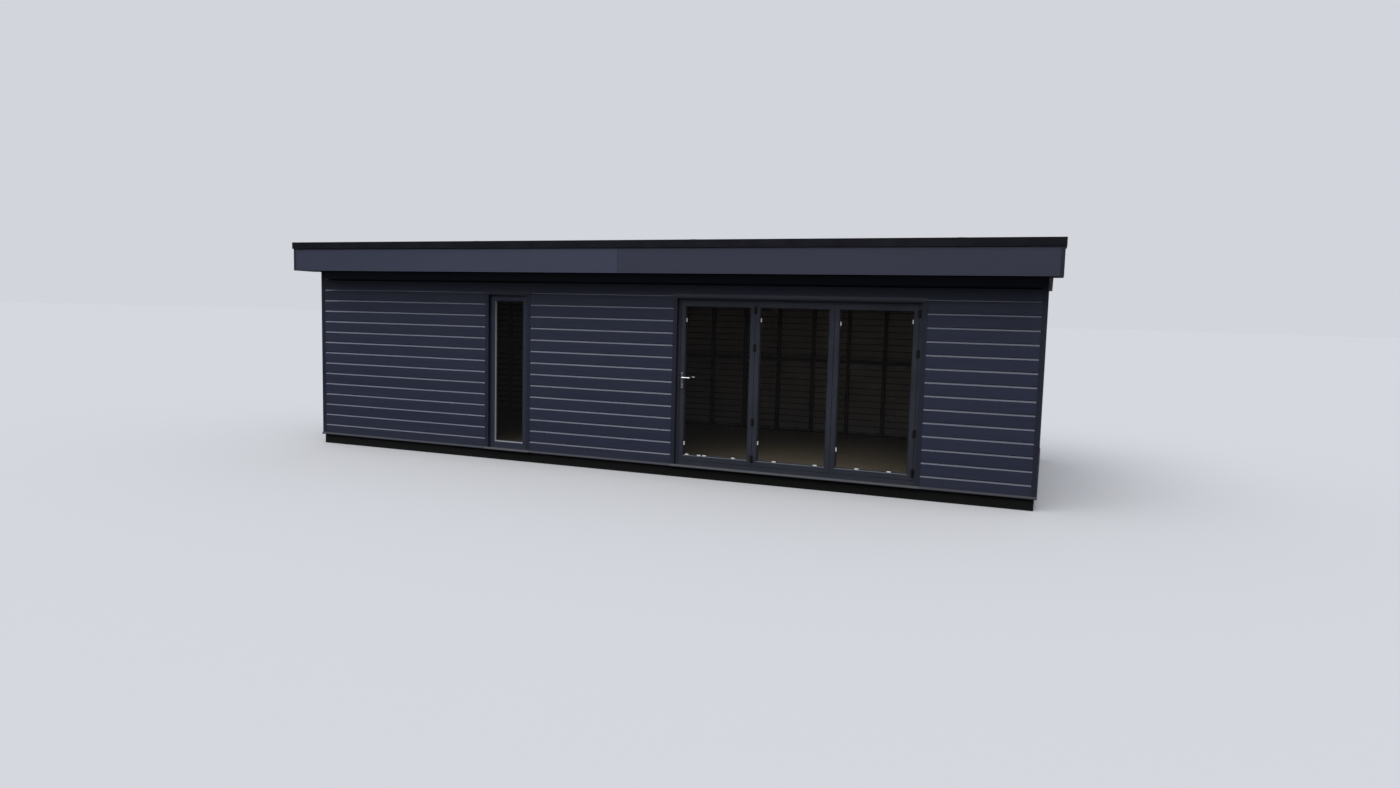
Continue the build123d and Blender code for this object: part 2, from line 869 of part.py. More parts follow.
def edge_section():
    """Cross-section of the capping; x runs out from the outer face of the fascia."""
    outline(
        (0, edge_foot),
        (edge_projection, edge_foot),
        (edge_projection, edge_top),
        (-cap_width, edge_top),
        (-cap_width, edge_top - edge_leg),
        (-kerb_width, edge_top - edge_leg),
        (-kerb_width, kerb_top),
        (0, kerb_top),
    )


def mitre(sign):
    """The upright plane through a front corner of the capping, at 45 degrees in plan."""
    corner_point = (sign * (canopy_half + edge_projection), roof_front - edge_projection, 0)
    return Plane(origin=corner_point, x_dir=(0, 0, 1), z_dir=(sign, 1, 0))


with BuildPart() as edge_trim_front:
    with BuildSketch(front_section.offset(edge_projection)):
        edge_section()
    extrude(amount=-2 * (canopy_half + edge_projection))
    for sign in (-1, 1):
        split(bisect_by=mitre(sign), keep=Keep.BOTTOM)
save(edge_trim_front, "edge_trim_front")

with BuildPart() as edge_trim_ends:
    with BuildSketch(side_section(roof_back)):
        edge_section()
    sweep(path=side_route(roof_back, roof_front - edge_projection), transition=Transition.RIGHT)
    split(bisect_by=mitre(1), keep=Keep.TOP)
    stop_inner = roof_half - cap_width
    block(stop_inner, rim_half, rim_back, roof_back, rubber_top(rim_back), edge_top)
    block(
        stop_inner,
        roof_half + edge_projection,
        roof_back,
        roof_back + edge_thickness,
        edge_foot,
        edge_top,
    )
    mirror(about=Plane.YZ)
save(edge_trim_ends, "edge_trim_ends")

drip_foot = rubber_top(rim_back) - drip_height
with BuildPart() as edge_trim_back:
    with BuildSketch(Plane.YZ.offset(-stop_inner)):
        flange_edge = rim_back - edge_flange
        outline(
            (flange_edge, rubber_top(flange_edge)),
            (rim_back, rubber_top(rim_back)),
            (roof_back, rubber_top(rim_back)),
            (roof_back, drip_foot),
            (roof_back + edge_projection, drip_foot),
            (roof_back + edge_projection, rubber_top(rim_back) + edge_thickness),
            (rim_back, rubber_top(rim_back) + edge_thickness),
            (flange_edge, rubber_top(flange_edge) + edge_thickness),
        )
    extrude(amount=2 * stop_inner)
save(edge_trim_back, "edge_trim_back")


# Rear gutter with stopped ends, and the pipe that drains it

gutter_top = drip_foot - gutter_drop
gutter_foot = gutter_top - gutter_height

with BuildPart() as rear_gutter:
    block(-roof_half, roof_half, roof_back, roof_back + gutter_width, gutter_foot, gutter_top)
    block(
        gutter_wall - roof_half,
        roof_half - gutter_wall,
        roof_back + gutter_wall,
        roof_back + gutter_width - gutter_wall,
        gutter_foot + gutter_wall,
        gutter_top,
        mode=Mode.SUBTRACT,
    )
save(rear_gutter, "rear_gutter")

pipe_x = half_length - pipe_from_right
pipe_out = roof_back + gutter_width / 2
pipe_in = back + starter_nose + pipe_standoff + pipe_size / 2
neck_top = fascia_foot - pipe_clearance - pipe_size / 2
neck_foot = neck_top - (pipe_out - pipe_in)
with BuildPart() as downpipe:
    with BuildLine():
        route = Polyline(
            (pipe_x, pipe_out, gutter_foot),
            (pipe_x, pipe_out, neck_top),
            (pipe_x, pipe_in, neck_foot),
            (pipe_x, pipe_in, pipe_foot + shoe_height),
            (pipe_x, pipe_in + shoe_kick, pipe_foot),
        )
    with BuildSketch(Plane(origin=route @ 0, x_dir=(1, 0, 0), z_dir=(0, 0, -1))):
        Rectangle(pipe_size, pipe_size)
        Rectangle(pipe_size - 2 * pipe_wall, pipe_size - 2 * pipe_wall, mode=Mode.SUBTRACT)
    sweep(path=route, transition=Transition.RIGHT)
    clip_step = (neck_foot - pipe_foot - shoe_height) / (clip_count + 1)
    clip_half = pipe_size / 2 + clip_wall
    for number in range(1, clip_count + 1):
        clip_z = neck_foot - number * clip_step
        with BuildSketch(Plane.XY.offset(clip_z)):
            rectangle(pipe_x - clip_half, pipe_x + clip_half, back, pipe_in + clip_half)
            with Locations((pipe_x, pipe_in)):
                Rectangle(pipe_size, pipe_size, mode=Mode.SUBTRACT)
        extrude(amount=clip_height)
save(downpipe, "downpipe")
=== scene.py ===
import math

import bmesh
import bpy
from mathutils import Matrix, Vector


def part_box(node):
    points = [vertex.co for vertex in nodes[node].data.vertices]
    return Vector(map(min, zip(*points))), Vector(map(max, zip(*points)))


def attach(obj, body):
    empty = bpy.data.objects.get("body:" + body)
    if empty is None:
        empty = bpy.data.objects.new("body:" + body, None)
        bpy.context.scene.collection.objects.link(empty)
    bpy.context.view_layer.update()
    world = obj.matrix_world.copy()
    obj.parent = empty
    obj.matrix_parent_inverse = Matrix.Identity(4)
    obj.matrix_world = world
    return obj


mm = 0.001  # the frame is in metres, the sizes below are in millimetres

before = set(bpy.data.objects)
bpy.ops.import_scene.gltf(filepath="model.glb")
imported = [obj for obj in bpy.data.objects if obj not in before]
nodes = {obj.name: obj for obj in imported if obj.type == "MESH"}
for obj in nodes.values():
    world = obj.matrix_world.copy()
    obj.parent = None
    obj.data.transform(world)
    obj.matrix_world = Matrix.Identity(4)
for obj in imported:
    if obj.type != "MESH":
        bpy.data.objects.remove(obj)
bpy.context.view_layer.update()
print("frame loaded:", len(nodes), "nodes")

# Edges of the building that the added pieces are placed from
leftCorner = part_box("cladding_left")[0].x
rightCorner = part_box("cladding_right")[1].x
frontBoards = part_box("cladding_front_left")[0].y
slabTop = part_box("concrete_base")[1].z
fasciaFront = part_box("fascia_front")[0].y
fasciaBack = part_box("fascia_ends")[1].y
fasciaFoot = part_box("fascia_ends")[0].z
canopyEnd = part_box("fascia_ends")[1].x
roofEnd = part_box("rear_gutter")[1].x
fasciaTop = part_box("edge_trim_front")[0].z
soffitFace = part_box("soffit_front")[0].z


def linear(hexColour):  # the sockets want linear values
    channels = [int(hexColour[start:start + 2], 16) / 255 for start in (0, 2, 4)]
    bent = [c / 12.92 if c <= 0.04045 else ((c + 0.055) / 1.055) ** 2.4 for c in channels]
    return (*bent, 1.0)


def perMetre(*sizes):  # feature sizes in mm to texture scales
    return tuple(1 / (size * mm) for size in sizes)


def add(tree, kind, inputs=None, **settings):  # a node among the inputs is linked by its first live output
    node = tree.nodes.new(kind)
    for name, value in settings.items():
        setattr(node, name, value)
    for name, value in (inputs or {}).items():
        socket = node.inputs[name] if isinstance(name, int) else None
        socket = socket or next(s for s in node.inputs if s.enabled and s.name == name)
        if isinstance(value, bpy.types.Node):
            value = next(s for s in value.outputs if s.enabled)
        if isinstance(value, bpy.types.NodeSocket):
            tree.links.new(value, socket)
        else:
            socket.default_value = value
    return node


# An empty tree, and the coordinates of the piece, which are the building's own metres
def startMaterial(name):
    material = bpy.data.materials.new(name)
    material.use_nodes = True
    tree = material.node_tree
    tree.nodes.clear()
    return material, tree, add(tree, "ShaderNodeTexCoord").outputs["Object"]


def endMaterial(tree, surface):
    shader = add(tree, "ShaderNodeBsdfPrincipled", surface)
    add(tree, "ShaderNodeOutputMaterial", {"Surface": shader})


# Foiled PVC: an extruded board with an anthracite film, embossed with a fine wood grain. The film is
# satin, so the hollow of each board picks up the sky as a pale line while the flat face stays dark.
foiledShiplap = {
    "face": "2a2d3e",
    "streak": "303446",
    "soil": "403e3b",
    "grainLength": 900,
    "grainWidth": 12,  # the real emboss is about 1 mm, drawn this coarse so that it shows at all
    "embossDepth": 0.2,
    "pitch": 150,
    "firstLip": 152,
    "boardToBoard": 0.06,  # share by which one board's tone may leave the next
    "splashHeight": 260,
    "splashPart": 0.25,  # how much soil the foot of the wall has
    "spot": 45,
    "roughness": 0.36,
    "ior": 1.5,
}
foiledTrim = {**foiledShiplap, "face": "20232e", "streak": "252935", "boardToBoard": 0.0}
foiledStarter = {
    **foiledTrim,
    "face": "0f1015",
    "streak": "16171c",
    "soil": "23252d",
    "roughness": 0.5,
    "ior": 1.4,
}
foiledWindow = {**foiledTrim, "face": "2f3342", "streak": "343947", "grainLength": 500, "grainWidth": 8}


def makeFoil(name, spec):
    material, tree, place = startMaterial(name)
    length, width = spec["grainLength"], spec["grainWidth"]
    stretched = add(tree, "ShaderNodeMapping", {"Vector": place, "Scale": perMetre(length, length, width)})
    grain = add(
        tree, "ShaderNodeTexNoise", {"Vector": stretched, "Scale": 1.0, "Detail": 5.0, "Roughness": 0.65}
    )
    colour = add(
        tree,
        "ShaderNodeMix",
        {"Factor": grain, "A": linear(spec["face"]), "B": linear(spec["streak"])},
        data_type="RGBA",
    )
    height = add(tree, "ShaderNodeSeparateXYZ", {"Vector": place}).outputs["Z"]
    # Each board comes from its own stretch of film, so its tone is its own
    course = add(
        tree,
        "ShaderNodeMapRange",
        {
            "Value": height,
            "From Min": slabTop + spec["firstLip"] * mm,
            "From Max": slabTop + (spec["firstLip"] + spec["pitch"]) * mm,
        },
        clamp=False,
    )
    number = add(tree, "ShaderNodeMath", {0: course}, operation="FLOOR")
    chance = add(tree, "ShaderNodeTexWhiteNoise", {"W": number}, noise_dimensions="1D")
    ownTone = add(
        tree,
        "ShaderNodeMapRange",
        {"Value": chance, "To Min": 1 - spec["boardToBoard"], "To Max": 1 + spec["boardToBoard"]},
    )
    colour = add(tree, "ShaderNodeHueSaturation", {"Color": colour, "Value": ownTone})
    # Rain throws soil on the lowest boards
    splash = add(
        tree,
        "ShaderNodeMapRange",
        {
            "Value": height,
            "From Min": slabTop,
            "From Max": slabTop + spec["splashHeight"] * mm,
            "To Min": spec["splashPart"],
            "To Max": 0.0,
        },
    )
    scale = perMetre(spec["spot"])[0]
    spots = add(tree, "ShaderNodeTexNoise", {"Vector": place, "Scale": scale, "Detail": 5.0})
    soiled = add(tree, "ShaderNodeMath", {0: splash, 1: spots}, operation="MULTIPLY")
    colour = add(
        tree, "ShaderNodeMix", {"Factor": soiled, "A": colour, "B": linear(spec["soil"])}, data_type="RGBA"
    )
    rough = add(
        tree,
        "ShaderNodeMapRange",
        {
            "Value": grain,
            "From Min": 0.3,
            "From Max": 0.7,
            "To Min": spec["roughness"] - 0.05,
            "To Max": spec["roughness"] + 0.06,
        },
    )
    emboss = add(
        tree, "ShaderNodeBump", {"Height": grain, "Distance": spec["embossDepth"] * mm, "Strength": 0.5}
    )
    endMaterial(tree, {"Base Color": colour, "Roughness": rough, "IOR": spec["ior"], "Normal": emboss})
    return material


shiplapFoil = makeFoil("foiledShiplap", foiledShiplap)
trimFoil = makeFoil("foiledTrim", foiledTrim)
starterFoil = makeFoil("soiledStarterFoil", foiledStarter)
windowFoil = makeFoil("foiledWindow", foiledWindow)

# Cellular PVC under a smooth film: flat and satin, and a little wavy over its length because it is thin
smoothFascia = {
    "firstBoard": "3e4252",
    "secondBoard": "353745",
    "jointFromLeft": 4951,
    "cloudLength": 1700,
    "cloudHeight": 260,
    "paintedSheenPart": 0.08,  # painted sheen: how much darker and lighter the first board is painted towards its ends
    "waveLength": 1100,
    "waveDepth": 1.2,
    "roughness": 0.38,
    "ior": 1.5,
}


def makeFascia(spec):
    material, tree, place = startMaterial("smoothFilmFascia")
    along = add(tree, "ShaderNodeSeparateXYZ", {"Vector": place}).outputs["X"]
    second = add(
        tree,
        "ShaderNodeMath",
        {0: along, 1: leftCorner + spec["jointFromLeft"] * mm},
        operation="GREATER_THAN",
    )
    colour = add(
        tree,
        "ShaderNodeMix",
        {"Factor": second, "A": linear(spec["firstBoard"]), "B": linear(spec["secondBoard"])},
        data_type="RGBA",
    )
    length, height = spec["cloudLength"], spec["cloudHeight"]
    stretched = add(tree, "ShaderNodeMapping", {"Vector": place, "Scale": perMetre(length, length, height)})
    cloud = add(tree, "ShaderNodeTexNoise", {"Vector": stretched, "Scale": 1.0, "Detail": 3.0})
    tone = add(tree, "ShaderNodeMapRange", {"Value": cloud, "To Min": 0.9, "To Max": 1.1})
    colour = add(tree, "ShaderNodeHueSaturation", {"Color": colour, "Value": tone})
    # Painted sheen: the long first board is painted lighter towards the joint, for the extra light it would
    # catch where it bows out there
    paintedSheen = add(
        tree,
        "ShaderNodeMapRange",
        {
            "Value": along,
            "From Min": leftCorner,
            "From Max": leftCorner + spec["jointFromLeft"] * mm,
            "To Min": 1 - spec["paintedSheenPart"],
            "To Max": 1 + spec["paintedSheenPart"],
        },
    )
    colour = add(tree, "ShaderNodeHueSaturation", {"Color": colour, "Value": paintedSheen})
    slack = add(tree, "ShaderNodeTexNoise", {"Vector": place, "Scale": perMetre(spec["waveLength"])[0]})
    wave = add(
        tree, "ShaderNodeBump", {"Height": slack, "Distance": spec["waveDepth"] * mm, "Strength": 0.6}
    )
    surface = {"Base Color": colour, "Roughness": spec["roughness"], "IOR": spec["ior"], "Normal": wave}
    endMaterial(tree, surface)
    return material


fasciaFilm = makeFascia(smoothFascia)

# Hollow soffit board: tongue and groove, with a dark line where two boards meet. Its face is painted near
# black, far darker than the board's own anthracite: painted shade for the deep shadow under the overhang
soffitBoard = {
    # painted shade: the face colour is near black for the shadow under the overhang
    "face": "08090c",
    "groove": "030304",
    "width": 100,
    "groovePart": 0.06,
    "grooveDepth": 1.5,
    "roughness": 0.6,
    "shine": 0.0,  # a matt grooved face gives nothing back at a glancing angle
}


def makeSoffit(spec):
    material, tree, place = startMaterial("hollowSoffitBoard")
    across = add(tree, "ShaderNodeSeparateXYZ", {"Vector": place}).outputs["Y"]
    boards = add(tree, "ShaderNodeMath", {0: across, 1: perMetre(spec["width"])[0]}, operation="MULTIPLY")
    part = add(tree, "ShaderNodeMath", {0: boards}, operation="FRACT")
    raised = add(tree, "ShaderNodeMath", {0: part, 1: spec["groovePart"]}, operation="GREATER_THAN")
    # Painted shade: both tones mixed here are near black
    colour = add(
        tree,
        "ShaderNodeMix",
        {"Factor": raised, "A": linear(spec["groove"]), "B": linear(spec["face"])},
        data_type="RGBA",
    )
    groove = add(
        tree, "ShaderNodeBump", {"Height": raised, "Distance": spec["grooveDepth"] * mm, "Strength": 0.8}
    )
    surface = {
        "Base Color": colour,
        "Roughness": spec["roughness"],
        "Specular IOR Level": spec["shine"],
        "Normal": groove,
    }
    endMaterial(tree, surface)
    return material


soffitPvc = makeSoffit(soffitBoard)

# Powder coat on extruded aluminium: a thin baked skin with a very fine orange peel, dulled by hands
doorCoat = {
    "colour": "32343c",
    "peel": 1.6,
    "peelDepth": 0.05,
    "handled": 260,  # the size of the patches that hands have dulled
    "roughness": 0.34,
    "ior": 1.5,
}
cillCoat = {**doorCoat, "colour": "16171c", "roughness": 0.45, "ior": 1.4}
# Moulded glass fibre capping: near black, smooth from its mould, with faint cloudy gloss
mouldedEdge = {**doorCoat, "colour": "090810", "peel": 6, "roughness": 0.3, "ior": 1.42}
# Cast hinge with a thick black coat that rounds its corners
blackHinge = {**doorCoat, "colour": "070708", "peel": 3, "peelDepth": 0.1, "roughness": 0.6, "ior": 1.35}


def makeCoat(name, spec):
    material, tree, place = startMaterial(name)
    patch = perMetre(spec["handled"])[0]
    handled = add(tree, "ShaderNodeTexNoise", {"Vector": place, "Scale": patch, "Detail": 4.0})
    tone = add(tree, "ShaderNodeMapRange", {"Value": handled, "To Min": 0.85, "To Max": 1.15})
    colour = add(tree, "ShaderNodeHueSaturation", {"Color": linear(spec["colour"]), "Value": tone})
    low, high = spec["roughness"] - 0.08, spec["roughness"] + 0.1
    rough = add(tree, "ShaderNodeMapRange", {"Value": handled, "To Min": low, "To Max": high})
    peel = add(tree, "ShaderNodeTexNoise", {"Vector": place, "Scale": perMetre(spec["peel"])[0]})
    skin = add(
        tree, "ShaderNodeBump", {"Height": peel, "Distance": spec["peelDepth"] * mm, "Strength": 0.4}
    )
    endMaterial(tree, {"Base Color": colour, "Roughness": rough, "IOR": spec["ior"], "Normal": skin})
    return material


doorPaint = makeCoat("powderCoatedAluminium", doorCoat)
cillPaint = makeCoat("powderCoatedCill", cillCoat)
edgeGlassFibre = makeCoat("mouldedGlassFibreEdge", mouldedEdge)
hingeCoat = makeCoat("coatedCastHinge", blackHinge)
print("foils, fascia, soffit and coated metal: materials made")

# Float glass in a sealed unit: see-through, faintly grey, with a film of dust that thickens in places
floatGlass = {
    "tint": "282828",
    "dust": "5a5a55",
    "film": 350,
    "dustPart": 0.1,  # where the film is thickest
    "cover": 0.13,  # how much of what stands behind one face it hides
    "roughness": 0.02,
    "ior": 1.5,
    "shine": 0.8,
}


def makeGlass(spec):
    material, tree, place = startMaterial("floatGlass")
    scale = perMetre(spec["film"])[0]
    film = add(tree, "ShaderNodeTexNoise", {"Vector": place, "Scale": scale, "Detail": 4.0})
    dusty = add(
        tree,
        "ShaderNodeMapRange",
        {"Value": film, "From Min": 0.45, "From Max": 0.8, "To Max": spec["dustPart"]},
    )
    colour = add(
        tree,
        "ShaderNodeMix",
        {"Factor": dusty, "A": linear(spec["tint"]), "B": linear(spec["dust"])},
        data_type="RGBA",
    )
    surface = {
        "Base Color": colour,
        "Roughness": spec["roughness"],
        "IOR": spec["ior"],
        "Specular IOR Level": spec["shine"],
        "Alpha": spec["cover"],
    }
    endMaterial(tree, surface)
    material.surface_render_method = "BLENDED"
    return material


glass = makeGlass(floatGlass)

# Glazing bead: foiled, with bare white plastic on the slopes that turn in to the glass at the left and foot
windowBead = {
    "face": "2b2f3d",
    "slope": "a5a4a6",
    "lean": 0.35,  # how far a slope turns to the right or upwards before it counts as bare
    "grime": 70,
    "footDirt": 0.52,
    "roughness": 0.4,
}


def makeBead(spec):
    material, tree, place = startMaterial("extrudedPvcBead")
    facing = add(
        tree,
        "ShaderNodeSeparateXYZ",
        {"Vector": add(tree, "ShaderNodeTexCoord").outputs["Normal"]},
    ).outputs
    inward = add(tree, "ShaderNodeMath", {0: facing["X"], 1: facing["Z"]}, operation="MAXIMUM")
    isBare = add(tree, "ShaderNodeMath", {0: inward, 1: spec["lean"]}, operation="GREATER_THAN")
    scale = perMetre(spec["grime"])[0]
    grime = add(tree, "ShaderNodeTexNoise", {"Vector": place, "Scale": scale, "Detail": 4.0})
    tone = add(tree, "ShaderNodeMapRange", {"Value": grime, "To Min": 0.75, "To Max": 1.05})
    slope = add(tree, "ShaderNodeHueSaturation", {"Color": linear(spec["slope"]), "Value": tone})
    dirt = add(
        tree,
        "ShaderNodeMapRange",
        {"Value": facing["Z"], "From Max": 0.7, "To Min": 1.0, "To Max": spec["footDirt"]},
    )
    slope = add(tree, "ShaderNodeHueSaturation", {"Color": slope, "Value": dirt})
    colour = add(
        tree, "ShaderNodeMix", {"Factor": isBare, "A": linear(spec["face"]), "B": slope}, data_type="RGBA"
    )
    endMaterial(tree, {"Base Color": colour, "Roughness": spec["roughness"]})
    return material


beadPvc = makeBead(windowBead)

# Extruded rubber: matt black, with the fine ribs that its die leaves along it
doorSeal = {"colour": "0b0b0c", "rib": 3, "ribDepth": 0.1, "roughness": 0.7}
# Nylon packer: white, waxy, scuffed by the tool that pushed it in
nylonPacker = {**doorSeal, "colour": "f4f3ee", "rib": 6, "roughness": 0.45}
# Warm-edge spacer: dull grey foil over foam, with a faint weave
spacerFoil = {**doorSeal, "colour": "3c3c3e", "rib": 4, "roughness": 0.5}


def makeRibbed(name, spec):
    material, tree, place = startMaterial(name)
    scale = perMetre(spec["rib"])[0]
    ribs = add(tree, "ShaderNodeTexNoise", {"Vector": place, "Scale": scale, "Detail": 3.0})
    tone = add(tree, "ShaderNodeMapRange", {"Value": ribs, "To Min": 0.85, "To Max": 1.1})
    colour = add(tree, "ShaderNodeHueSaturation", {"Color": linear(spec["colour"]), "Value": tone})
    scuff = add(
        tree, "ShaderNodeBump", {"Height": ribs, "Distance": spec["ribDepth"] * mm, "Strength": 0.4}
    )
    endMaterial(tree, {"Base Color": colour, "Roughness": spec["roughness"], "Normal": scuff})
    return material


sealRubber = makeRibbed("extrudedDoorSeal", doorSeal)
packerNylon = makeRibbed("mouldedNylonPacker", nylonPacker)
spacerBar = makeRibbed("warmEdgeSpacer", spacerFoil)

# Polished chrome over die-cast zinc: a mirror that finger marks make patchy
polishedChrome = {"colour": "c9c9c6", "roughness": 0.12, "smudge": 18}


def makeChrome(spec):
    material, tree, place = startMaterial("polishedChrome")
    scale = perMetre(spec["smudge"])[0]
    marks = add(tree, "ShaderNodeTexNoise", {"Vector": place, "Scale": scale, "Detail": 5.0})
    rough = add(
        tree,
        "ShaderNodeMapRange",
        {
            "Value": marks,
            "From Min": 0.35,
            "From Max": 0.7,
            "To Min": spec["roughness"] - 0.05,
            "To Max": spec["roughness"] + 0.14,
        },
    )
    endMaterial(tree, {"Base Color": linear(spec["colour"]), "Metallic": 1.0, "Roughness": rough})
    return material


chrome = makeChrome(polishedChrome)

# Extruded gutter PVC: glossy anthracite with pale streaks where rain has run and dried
gutterSkin = {
    "colour": "1f2127",
    "streak": "45464a",
    "streakWidth": 26,
    "streakHeight": 364,
    "streakPart": 0.5,
    "roughness": 0.24,
    "ior": 1.5,
}


def makeGutterSkin(spec):
    material, tree, place = startMaterial("extrudedGutterPvc")
    width, height = spec["streakWidth"], spec["streakHeight"]
    stretched = add(tree, "ShaderNodeMapping", {"Vector": place, "Scale": perMetre(width, width, height)})
    runs = add(tree, "ShaderNodeTexNoise", {"Vector": stretched, "Scale": 1.0, "Detail": 4.0})
    dried = add(
        tree,
        "ShaderNodeMapRange",
        {"Value": runs, "From Min": 0.52, "From Max": 0.8, "To Max": spec["streakPart"]},
    )
    colour = add(
        tree,
        "ShaderNodeMix",
        {"Factor": dried, "A": linear(spec["colour"]), "B": linear(spec["streak"])},
        data_type="RGBA",
    )
    low, high = spec["roughness"], spec["roughness"] + 0.2
    rough = add(tree, "ShaderNodeMapRange", {"Value": runs, "To Min": low, "To Max": high})
    endMaterial(tree, {"Base Color": colour, "Roughness": rough, "IOR": spec["ior"]})
    return material


gutterPvc = makeGutterSkin(gutterSkin)
print("glass, seals, chrome and gutter: materials made")

# Sawn softwood: pale sapwood with darker growth rings along each length and the saw's rough face
sawnSoftwood = {
    "sapwood": "c9a678",
    "ring": "a07a50",
    "ringWidth": 16,
    "ringLength": 800,
    "roughness": 0.75,
    "shine": 0.3,
}
# The studs are of treated wood, much darker, against pale sheathing planks with a dark line at each joint
treatedSoftwood = {**sawnSoftwood, "sapwood": "4a3c30", "ring": "30261e"}
wallSkin = {
    "pale": "efe6dc",
    "dark": "ddd3c8",
    "fold": 700,
    "plank": 100,
    "joint": "a39a90",
    "jointPart": 0.12,
    "studDepth": 95,  # the skin lies behind the studs
    "margin": 0.5,
}


def makeSoftwood(name, spec, upright, skin=None):
    material, tree, place = startMaterial(name)
    width, length = spec["ringWidth"], spec["ringLength"]
    sizes = (width, width, length) if upright else (length, width, width)
    stretched = add(tree, "ShaderNodeMapping", {"Vector": place, "Scale": perMetre(*sizes)})
    rings = add(
        tree, "ShaderNodeTexNoise", {"Vector": stretched, "Scale": 1.0, "Detail": 4.0, "Distortion": 0.4}
    )
    colour = add(
        tree,
        "ShaderNodeMix",
        {"Factor": rings, "A": linear(spec["sapwood"]), "B": linear(spec["ring"])},
        data_type="RGBA",
    )
    if skin:
        apart = add(tree, "ShaderNodeSeparateXYZ", {"Vector": place})
        away = add(tree, "ShaderNodeMath", {0: apart.outputs["X"]}, operation="ABSOLUTE")
        studDepth, margin = skin["studDepth"] * mm, skin["margin"] * mm
        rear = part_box("back_wall")[0].y + studDepth - margin
        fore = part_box("front_wall_left")[1].y - studDepth + margin
        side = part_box("right_wall")[0].x + studDepth - margin
        onRear = add(tree, "ShaderNodeMath", {0: apart.outputs["Y"], 1: rear}, operation="GREATER_THAN")
        onFore = add(tree, "ShaderNodeMath", {0: apart.outputs["Y"], 1: fore}, operation="LESS_THAN")
        onSide = add(tree, "ShaderNodeMath", {0: away, 1: side}, operation="GREATER_THAN")
        onLong = add(tree, "ShaderNodeMath", {0: onRear, 1: onFore}, operation="MAXIMUM")
        onSkin = add(tree, "ShaderNodeMath", {0: onLong, 1: onSide}, operation="MAXIMUM")
        scale = perMetre(skin["fold"])[0]
        folds = add(tree, "ShaderNodeTexNoise", {"Vector": place, "Scale": scale, "Detail": 3.0})
        sheet = add(
            tree,
            "ShaderNodeMix",
            {"Factor": folds, "A": linear(skin["dark"]), "B": linear(skin["pale"])},
            data_type="RGBA",
        )
        perPlank = perMetre(skin["plank"])[0]
        planks = add(tree, "ShaderNodeMath", {0: apart.outputs["Z"], 1: perPlank}, operation="MULTIPLY")
        part = add(tree, "ShaderNodeMath", {0: planks}, operation="FRACT")
        atJoint = add(tree, "ShaderNodeMath", {0: part, 1: skin["jointPart"]}, operation="LESS_THAN")
        sheet = add(
            tree,
            "ShaderNodeMix",
            {"Factor": atJoint, "A": sheet, "B": linear(skin["joint"])},
            data_type="RGBA",
        )
        colour = add(tree, "ShaderNodeMix", {"Factor": onSkin, "A": colour, "B": sheet}, data_type="RGBA")
    surface = {
        "Base Color": colour,
        "Roughness": spec["roughness"],
        "Specular IOR Level": spec["shine"],
    }
    endMaterial(tree, surface)
    return material


studTimber = makeSoftwood("treatedStudsAndSheathing", treatedSoftwood, True, wallSkin)
joistTimber = makeSoftwood("sawnSoftwoodJoists", sawnSoftwood, False)

# Pressed boards: wood glued flat under heat, fine chips for the floor and large flakes for the roof deck
pressedChips = {
    "dark": "6e6450",
    "pale": "8f8268",
    "flake": 9,
    "flakeStretch": 2.4,  # length against width
    "flakeLift": 0.4,
    "roughness": 0.7,
}
pressedFlakes = {**pressedChips, "dark": "7d5f38", "pale": "b28f5c", "flake": 38}


def makePressedBoard(name, spec):
    material, tree, place = startMaterial(name)
    flake = spec["flake"]
    length = flake * spec["flakeStretch"]
    stretched = add(tree, "ShaderNodeMapping", {"Vector": place, "Scale": perMetre(length, flake, flake)})
    flakes = add(tree, "ShaderNodeTexVoronoi", {"Vector": stretched, "Scale": 1.0})
    chance = add(tree, "ShaderNodeSeparateXYZ", {"Vector": flakes.outputs["Color"]})
    colour = add(
        tree,
        "ShaderNodeMix",
        {"Factor": chance, "A": linear(spec["dark"]), "B": linear(spec["pale"])},
        data_type="RGBA",
    )
    lifted = add(
        tree, "ShaderNodeBump", {"Height": flakes, "Distance": spec["flakeLift"] * mm, "Strength": 0.4}
    )
    endMaterial(tree, {"Base Color": colour, "Roughness": spec["roughness"], "Normal": lifted})
    return material


floorBoard = makePressedBoard("pressedChipFloor", pressedChips)
roofBoard = makePressedBoard("pressedFlakeDeck", pressedFlakes)

# Calendered rubber sheet: dull, with slack waves and a tide of dust where rain has dried
rubberSheet = {
    "colour": "212226",
    "dust": "45443f",
    "tide": 600,
    "tidePart": 0.5,
    "wave": 900,
    "waveDepth": 4,
    "roughness": 0.75,
    "shine": 0.1,
}


def makeRoofRubber(spec):
    material, tree, place = startMaterial("calenderedRubberSheet")
    perTide, perWave = perMetre(spec["tide"], spec["wave"])
    tide = add(tree, "ShaderNodeTexNoise", {"Vector": place, "Scale": perTide, "Detail": 7.0})
    dried = add(
        tree,
        "ShaderNodeMapRange",
        {"Value": tide, "From Min": 0.45, "From Max": 0.75, "To Max": spec["tidePart"]},
    )
    colour = add(
        tree,
        "ShaderNodeMix",
        {"Factor": dried, "A": linear(spec["colour"]), "B": linear(spec["dust"])},
        data_type="RGBA",
    )
    slack = add(tree, "ShaderNodeTexNoise", {"Vector": place, "Scale": perWave, "Detail": 3.0})
    wave = add(
        tree, "ShaderNodeBump", {"Height": slack, "Distance": spec["waveDepth"] * mm, "Strength": 0.6}
    )
    surface = {
        "Base Color": colour,
        "Roughness": spec["roughness"],
        "Specular IOR Level": spec["shine"],
        "Normal": wave,
    }
    endMaterial(tree, surface)
    return material


roofRubber = makeRoofRubber(rubberSheet)

